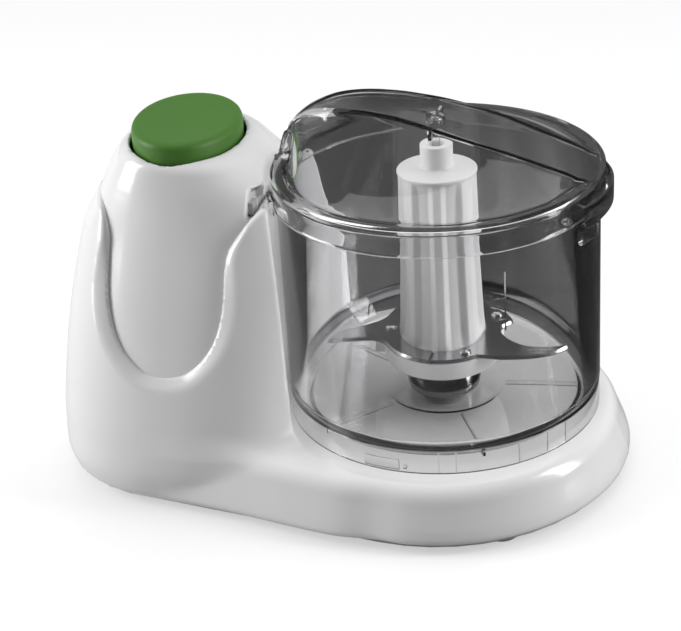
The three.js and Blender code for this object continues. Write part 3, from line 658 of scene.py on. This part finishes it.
BOX_FACES = [(0, 1, 3, 2), (4, 6, 7, 5), (0, 4, 5, 1), (2, 3, 7, 6), (0, 2, 6, 4), (1, 5, 7, 3)]
RIB_HALF = 0.4
ribs = []
for degrees in range(0, 360, 72):
    t = math.radians(degrees - 62)
    c, s = math.cos(t), math.sin(t)
    box = [(BOWL_X + r * c - q * s, r * s + q * c, z)
           for r in (23, 50) for q in (-RIB_HALF, RIB_HALF) for z in (26.6, 28.2)]
    ribs.append((box, BOX_FACES))
v, f = merge(*ribs)
piece("bowl_floor_ribs", v, f, CLEAR_EDGE, "bowl", "clear_plastic", (), 30)

SKIN, PROUD = 57.6, 57.95  # fine marks stand from just inside the bowl's wall to a little outside it
skirt_marks = [arc_block(a - 0.25, a + 0.25, SKIN, PROUD, 24.8, 33, 2, 0.1)
               for a in (-80, -74, -51, -39, -30)]
level_marks = [arc_block(-60, -55.5, SKIN, PROUD, z, z + 0.5, 6, 0.1) for z in (82, 90, 98)]
v, f = merge(arc_block(-107, -94, SKIN, 58.3, 25.4, 29.4),
             arc_block(-92.4, -91.2, SKIN, 58.6, 26.2, 27.6, 6),
             *skirt_marks,
             arc_block(-55.7, -55.2, SKIN, PROUD, 78, 100, 2, 0.1),
             *level_marks)
piece("bowl_lock_tab", v, f, CLEAR_EDGE, "bowl", "clear_plastic", (), 40)

collar = fillet([(8, 29.5), (13.4, 29.5), (13.9, 32.0), (12.8, 36.0), (10.6, 38.8), (8, 38.8)],
                [0.3, 0.8, 2.0, 3.0, 1.0, 0.3], 6)
v, f = lathe(collar, 96)
piece("collar_ring", v, f, DARK_STEEL, "bowl", "steel", ["bowl_collar"], 40)

# ---------------------------------------------------------------- blade unit
def fluted(r, depth, z, n):
    """Round section with eight shallow grooves and a narrow rib left between each pair."""
    a = np.linspace(0, 2 * np.pi, n, endpoint=False)
    wave = np.clip(1.25 - 1.6 * np.abs(np.cos(4 * (a + math.radians(79)))) ** 3, 0, 1)
    k = r - depth * wave
    return np.column_stack([BOWL_X + k * np.cos(a), k * np.sin(a), np.full(n, z)])


# Section of the stem, up its outside and down its bore: radius, groove depth, height.
STEM = [(16.1, 0.2, 48.5), (16.1, 1.6, 50), (15.7, 1.9, 56), (15.0, 1.9, 75), (14.4, 1.8, 95),
        (14.0, 1.5, 108), (13.9, 0.8, 112.6), (13.8, 0.2, 114.0), (12.6, 0, 114.3), (11.4, 0, 113.8),
        (11.4, 0, 66), (11.4, 0, 62), (8.2, 0, 60.0), (8.2, 0, 48.5)]
v, f = revolve(lambda k, n: fluted(*STEM[k], n), len(STEM), 256)
piece("blade_stem", v, f, MILKY, "blade_unit", "milky_white", ["blade_carrier"], 60)
hub = fillet([(8.1, 40.7), (21.6, 40.7), (23.2, 48.4), (8.1, 48.4)], [0.4, 2.0, 0.8, 0.3], 5)
stem_cap = fillet([(2.4, 114.0), (14.3, 114.0), (14.3, 115.4), (5.8, 116.4), (5.8, 125), (3.1, 125),
                   (3.1, 119), (2.4, 118)], [0.3, 0.5, 0.5, 0.9, 0.5, 0.5, 0.4, 0.3], 4)
cleat = fillet([(BOWL_X - 25.4, -5), (BOWL_X - 20, -5), (BOWL_X - 20, 3), (BOWL_X - 25.4, 3)],
               [0.8, 0, 0, 0.8], 4)
v, f = merge(lathe(hub, 128), lathe(stem_cap, 96), plate(cleat, 41, 48.1, 0.3))
piece("blade_hub", v, f, MILKY, "blade_unit", "milky_white", (), 45)


def ring_points(r, a0, a1, steps):
    """Points along an arc, angles in degrees."""
    return [(r * math.cos(math.radians(a0 + (a1 - a0) * i / steps)),
             r * math.sin(math.radians(a0 + (a1 - a0) * i / steps))) for i in range(steps + 1)]


RIGHT_TIP = [(24.6, -16.2), (34, -13.8), (42.5, -9.2), (47.6, -2.6), (40, -5.6), (33, -6.4),
             (27.6, -4.4), (23.4, -0.6), (21.9, 4.0), (25.4, 9.4), (22.6, 13.8)]
LEFT_TIP = [(-21.2, 9.6), (-24.0, 2.0), (-31, -3.4), (-37, -6.4), (-41.4, -13.8), (-34, -12.8),
            (-24.5, -11.0)]
RING_R, HOLE_R = 23.0, 16.0
right_half = (ring_points(RING_R, 45, 89.8, 8) + ring_points(HOLE_R, 89.8, -89.8, 34)
              + ring_points(RING_R, -89.8, -46, 8))
left_half = (ring_points(RING_R, -146, -90.2, 10) + ring_points(HOLE_R, -90.2, -269.8, 34)
             + ring_points(RING_R, -269.8, -206, 12))
for side, tip, half in (("right", RIGHT_TIP, right_half), ("left", LEFT_TIP, left_half)):
    outline = np.vstack([catmull(tip, 6), half]) + np.array([BOWL_X, 0])
    v, f = plate(outline, 48.5, 49.7, 0.5)
    piece(f"blade_plate_{side}", v, f, STEEL, "blade_unit", "steel", [f"blade_{side}"], 25)
RIVETS = [(-18.8, -3.6), (11.4, -15.2), (-11.4, 15.2), (18.6, 12.0)]
for i, (rivet_x, rivet_y) in enumerate(RIVETS, 1):
    prof = fillet([(0.01, 49.6), (2.4, 49.6), (2.2, 50.4), (0.9, 50.9), (0.01, 50.9)],
                  [0, 0.2, 0.4, 0.3, 0], 3)
    v, f = lathe(prof, 32, BOWL_X + rivet_x, rivet_y)
    piece(f"rivet_head_{i}", v, f, STEEL, "blade_unit", "steel", [f"blade_rivet_{i}"], 40)

# ---------------------------------------------------------------- lid
RIM_Z = 118.6
# The band over the lid, along X from the bowl's axis: height of its crest, then its half width.
GRIP = np.array([(-58, 119.4), (-55, 127.8), (-50, 133.6), (-44, 137.4), (-36, 139.6), (-26, 140.2),
                 (-16, 139.6), (-5, 137.8), (8, 134.6), (20, 131.2), (32, 127.3), (44, 123.0), (54, 119.4)])
HALF = np.array([(-58, 1.0), (-52, 2.6), (-46, 4.4), (-40, 6.8), (-33, 9.4), (-23, 10.9), (-9, 12.6),
                 (4, 14.6), (18, 15.4), (30, 14.4), (44, 13.2), (54, 12.4)])
R_IN, R_FLAT = 52.5, 57.6  # where the panels end, and where the flat rim does


def lid_top(x, y):
    """Height of the lid's outside: a band arches over the middle and panels fall from it to the flat rim."""
    crest = hermite(x, GRIP)[0]
    w = hermite(x, HALF)[0]
    ay = np.abs(y)
    chord = np.sqrt(np.maximum(R_IN ** 2 - x * x, 0))
    run = np.maximum(chord - w, 2.6)
    t = np.clip((ay - w) / run, 0, 1)
    fall = (1 - t) ** 1.35
    rise = np.maximum(crest - RIM_Z, 0)
    ridge = 0.55 * np.exp(-((ay - w) / 0.7) ** 2) * np.clip(rise / 3, 0, 1)
    dish = -0.7 * np.clip(1 - (ay / np.maximum(w, 1)) ** 2, 0, 1) * np.clip(rise / 6, 0, 1)
    r = np.hypot(x, y)
    crease = -0.35 * np.exp(-((r - 53.4) / 0.7) ** 2)
    return RIM_Z + rise * fall + ridge + dish + crease


COLS, ROWS = 120, 36
tt = np.pi * (np.arange(1, COLS) / COLS)
xs = -R_FLAT * np.cos(tt)
edge = R_FLAT * np.sin(tt)
half_w = np.minimum(hermite(xs, HALF)[0], edge * 0.8)
band = np.concatenate([np.linspace(0, 0.86, 6), [0.93, 1.0]])
panel = np.concatenate([[0.02, 0.05, 0.1], np.linspace(0.17, 1, ROWS - 11)])
grid = []
for xj, ej, wj in zip(xs, edge, half_w):
    pos = np.concatenate([band * wj, wj + panel * (ej - wj)])
    ys = np.concatenate([-pos[:0:-1], pos])
    grid.append(np.column_stack([np.full(len(ys), xj), ys, lid_top(np.full(len(ys), xj), ys)]))
m = len(grid[0])
end_x, end_y = np.array([-R_FLAT, R_FLAT]), np.zeros(2)
verts = np.vstack(grid + [np.column_stack([end_x, end_y, lid_top(end_x, end_y)])])
n_cols = COLS - 1
faces = [(j * m + i, (j + 1) * m + i, (j + 1) * m + i + 1, j * m + i + 1)
         for j in range(n_cols - 1) for i in range(m - 1)]
left_i, right_i = n_cols * m, n_cols * m + 1
faces += [(left_i, i, i + 1) for i in range(m - 1)]
faces += [(right_i, (n_cols - 1) * m + i + 1, (n_cols - 1) * m + i) for i in range(m - 1)]
boundary = [left_i] + [j * m for j in range(n_cols)] + [right_i]
boundary += [j * m + m - 1 for j in range(n_cols - 1, -1, -1)]
# The inside is the outside moved in along its normals.
LID_WALL = 1.7
normals = np.zeros_like(verts)
for q in faces:
    a, b, c = verts[q[0]], verts[q[1]], verts[q[2]]
    g = np.cross(b - a, c - a)
    for i in q:
        normals[i] += g
normals /= np.linalg.norm(normals, axis=1)[:, None] + 1e-12
normals *= np.sign(normals[:, 2:3] + 1e-9)
inner = verts - normals * LID_WALL
count = len(verts)
under = [tuple(i + count for i in reversed(q)) for q in faces]
outline = verts[boundary]
ang = np.arctan2(outline[:, 1], outline[:, 0])
# Section of the skirt, down its outside and up its inside.
skirt = [(58.4, 118.5), (59.0, 118.25), (59.4, 117.8), (59.5, 117.0), (59.5, 113.6), (59.5, 109.2),
         (59.45, 108.4), (59.1, 108.0), (58.5, 108.0), (58.15, 108.4), (58.1, 109.2), (58.1, 113),
         (58.1, 116.2), (57.9, 116.7)]
n_edge = len(boundary)
rings = [np.column_stack([r * np.cos(ang), r * np.sin(ang), np.full(n_edge, z)]) for r, z in skirt]
all_verts = np.vstack([verts, inner] + rings)
loops = [boundary]
loops += [list(range(2 * count + k * n_edge, 2 * count + (k + 1) * n_edge)) for k in range(len(skirt))]
loops.append([i + count for i in boundary])
walls = []
for a, b in zip(loops, loops[1:]):
    walls += [(a[i], a[(i + 1) % n_edge], b[(i + 1) % n_edge], b[i]) for i in range(n_edge)]
all_verts = all_verts + np.array([BOWL_X, 0, 0])
piece("lid_shell", all_verts, faces + under + walls, CLEAR_LID, "lid", "clear_plastic", ["lid"], 50)


def cam_band(steps=36):
    """Locking band that starts proud of the skirt and winds in until it meets it."""
    verts = []
    for k in range(steps + 1):
        t = k / steps
        a = math.radians(-27 + 38 * t)
        r = 65.3 - 1.0 * t - 4.6 * t ** 2.6
        low = 109 + 0.5 * t
        section = fillet([(r - 1.3, low), (r, low), (r, 117.0), (r - 1.3, 117.0)], [0.5] * 4, 4)
        verts += [(BOWL_X + q * math.cos(a), q * math.sin(a), z) for q, z in section]
    return verts, bar_faces(steps, len(section))


latch = merge(cam_band(),
              arc_block(-28.2, -26.8, 59.3, 65.3, 109, 117.0, 3, 0.5),
              arc_block(-30, -21.6, 63.6, 65.4, 103.8, 112.4, 8, 0.7))
piece("lid_latch", *latch, CLEAR_EDGE, "lid", "clear_plastic", (), 40)
tab = arc_block(-162, -153, 59.3, 61.0, 106, 111.5, 8, 0.5)
piece("lid_tab", *tab, CLEAR_EDGE, "lid", "clear_plastic", (), 40)
boss = lathe(fillet([(1.7, 129.0), (3.4, 129.0), (3.4, 135.6), (1.7, 135.6)], [0.3, 0.4, 0.2, 0.2], 4), 48)


def slab(x0, x1, y0, y1, z0, z1):
    """Straight rib, placed from the bowl's axis."""
    return plate([(BOWL_X + x0, y0), (BOWL_X + x1, y0), (BOWL_X + x1, y1), (BOWL_X + x0, y1)], z0, z1, 0.05)


ribbed_boss = merge(boss, slab(-9, -3.2, -0.6, 0.6, 130.5, 137.2), slab(3.2, 9, -0.6, 0.6, 130.5, 133.0),
                    slab(-0.6, 0.6, 3.2, 10, 129.6, 135.0), slab(-0.6, 0.6, -10, -3.2, 129.6, 135.0))
piece("lid_boss", *ribbed_boss, CLEAR_EDGE, "lid", "clear_plastic", (), 40)

# ---------------------------------------------------------------- stage, light, camera
DARK = 0.055  # the world, looked at through the clear plastic


def world_light():
    """Soft light from the back left and above; dimmer in reflections, dark through the clear plastic."""
    w = bpy.data.worlds.new("studio")
    w.use_nodes = True
    nt = w.node_tree
    nt.nodes.clear()
    out = nt.nodes.new("ShaderNodeOutputWorld")
    bg = nt.nodes.new("ShaderNodeBackground")
    coord = nt.nodes.new("ShaderNodeTexCoord")
    dot = nt.nodes.new("ShaderNodeVectorMath")
    dot.operation = "DOT_PRODUCT"
    dot.inputs[1].default_value = (-0.35, 0.75, 0.55)
    link(nt, coord.outputs["Generated"], dot.inputs[0])
    rng = nt.nodes.new("ShaderNodeMapRange")
    rng.inputs["From Min"].default_value = -0.45
    rng.inputs["From Max"].default_value = 0.45
    link(nt, dot.outputs["Value"], rng.inputs["Value"])
    ramp = nt.nodes.new("ShaderNodeValToRGB")
    ramp.color_ramp.elements[0].color = (0.07, 0.07, 0.072, 1)
    ramp.color_ramp.elements[1].color = (0.68, 0.68, 0.68, 1)
    link(nt, rng.outputs[0], ramp.inputs[0])
    path = nt.nodes.new("ShaderNodeLightPath")
    in_gloss = ranged(nt, path.outputs["Is Glossy Ray"], 0.0, 0.6)
    soft = mixed(nt, in_gloss, ramp.outputs[0], (0.04, 0.04, 0.04))
    link(nt, mixed(nt, path.outputs["Is Transmission Ray"], soft, (DARK, DARK, DARK)), bg.inputs[0])
    bg.inputs[1].default_value = 1.0
    link(nt, bg.outputs[0], out.inputs[0])
    bpy.context.scene.world = w


def area(name, at, aim, size, power):
    """Rectangular soft light, in metres and watts."""
    data = bpy.data.lights.new(name, "AREA")
    data.shape = "RECTANGLE"
    data.size, data.size_y = size
    data.energy = power
    ob = bpy.data.objects.new(name, data)
    ob.location = at
    ob.rotation_euler = (Vector(aim) - Vector(at)).to_track_quat("-Z", "Y").to_euler()
    bpy.context.scene.collection.objects.link(ob)
    return ob


world_light()
area("key_left", (-0.9, -0.26, 0.42), (0, 0, 0.07), (0.5, 0.7), 8.4)
area("top_back", (0.0, 0.55, 0.95), (0, 0, 0.05), (1.1, 0.6), 3.4).visible_glossy = False
area("strip_right", (0.75, 0.05, 0.34), (0.03, 0, 0.08), (0.2, 0.6), 4.2)

FLOOR_HALF = 6.0
floor = bpy.data.meshes.new("floor")
floor.from_pydata([(x * FLOOR_HALF, y * FLOOR_HALF, 0) for x, y in ((-1, -1), (1, -1), (1, 1), (-1, 1))],
                  [], [(0, 1, 2, 3)])
floor_ob = bpy.data.objects.new("floor", floor)
bpy.context.scene.collection.objects.link(floor_ob)
floor_mat = moulded("floor_pale", (0.93, 0.93, 0.93), 0.6, 0.01, 0.0, 200)
floor.materials.append(floor_mat)
nt = floor_mat.node_tree
pale, output = nt.nodes["Principled BSDF"], nt.nodes["Material Output"]
light_path = nt.nodes.new("ShaderNodeLightPath")


def emission(strength):
    """Even white glow."""
    node = nt.nodes.new("ShaderNodeEmission")
    node.inputs[0].default_value = (strength, strength, strength, 1)
    return node


def painted_side_glow(stops):
    """Painted glow that changes from the left of the table to its right, as (x in metres, strength)."""
    coord = nt.nodes.new("ShaderNodeTexCoord")
    sep = nt.nodes.new("ShaderNodeSeparateXYZ")
    link(nt, coord.outputs["Object"], sep.inputs[0])
    rng = nt.nodes.new("ShaderNodeMapRange")
    rng.inputs["From Min"].default_value = -0.5
    rng.inputs["From Max"].default_value = 0.5
    link(nt, sep.outputs[0], rng.inputs["Value"])
    ramp = nt.nodes.new("ShaderNodeValToRGB")
    el = ramp.color_ramp.elements
    while len(el) < len(stops):
        el.new(0.5)
    for e, (x, c) in zip(el, stops):
        e.position = x + 0.5
        e.color = (c, c, c, 1)
    link(nt, rng.outputs[0], ramp.inputs[0])
    node = nt.nodes.new("ShaderNodeEmission")
    link(nt, ramp.outputs[0], node.inputs[0])
    return node


def swap(fac, a, b):
    """Shader a where fac is nought, and b where it is one."""
    node = nt.nodes.new("ShaderNodeMixShader")
    if isinstance(fac, float):
        node.inputs[0].default_value = fac
    else:
        link(nt, fac, node.inputs[0])
    link(nt, a.outputs[0], node.inputs[1])
    link(nt, b.outputs[0], node.inputs[2])
    return node


# The table glows though it is no lamp: even and bright to look at, dim as a light source, and a painted
# glow, dark towards its right, in reflections (painted reflections) and through the clear plastic (painted
# shade).
dim = nt.nodes.new("ShaderNodeBsdfDiffuse")
dim.inputs[0].default_value = (0.36, 0.36, 0.36, 1)
seen = swap(0.5, pale, emission(1.0))
lit = swap(light_path.outputs["Is Diffuse Ray"], seen, dim)
# Painted reflection: glow seen only in reflections, bright at the left and dark at the right.
painted_reflection_glow = painted_side_glow([(-0.3, 0.8), (0.0, 0.5), (0.12, 0.09)])
mirrored = swap(light_path.outputs["Is Glossy Ray"], lit, painted_reflection_glow)
# Painted shade: glow seen only through the clear plastic, dark towards the right.
painted_shade_behind = painted_side_glow([(-0.34, 0.42), (-0.2, 0.3), (-0.08, 0.06), (0.04, 0.045), (0.1, 0.075),
                        (0.14, 0.03)])
through = swap(light_path.outputs["Is Transmission Ray"], mirrored, painted_shade_behind)
link(nt, through.outputs[0], output.inputs[0])


def set_camera():
    """The photograph's view: from the front right, looking down, slightly rolled."""
    focal_px, width_px = 1915.6, 681
    distance, height = 0.63013, 0.3762
    data = bpy.data.cameras.new("camera")
    data.sensor_width = 36
    data.lens = focal_px / width_px * data.sensor_width
    data.clip_start, data.clip_end = 0.01, 50
    ob = bpy.data.objects.new("camera", data)
    bpy.context.scene.collection.objects.link(ob)
    az, pitch, roll = math.radians(16.4), math.radians(26.7), math.radians(-3.6)
    fwd = Vector((-math.sin(az) * math.cos(pitch), math.cos(az) * math.cos(pitch), -math.sin(pitch)))
    right = Vector((math.cos(az), math.sin(az), 0))
    up = right.cross(fwd)
    x = right * math.cos(roll) + up * math.sin(roll)
    y = -right * math.sin(roll) + up * math.cos(roll)
    rot = Matrix((x, y, -fwd)).transposed()
    orbit = math.radians(13)
    place = (BOWL_X * MM + distance * math.sin(orbit), -distance * math.cos(orbit), height)
    ob.matrix_world = Matrix.Translation(place) @ rot.to_4x4()
    bpy.context.scene.camera = ob


set_camera()
bpy.context.scene.view_settings.view_transform = "Standard"
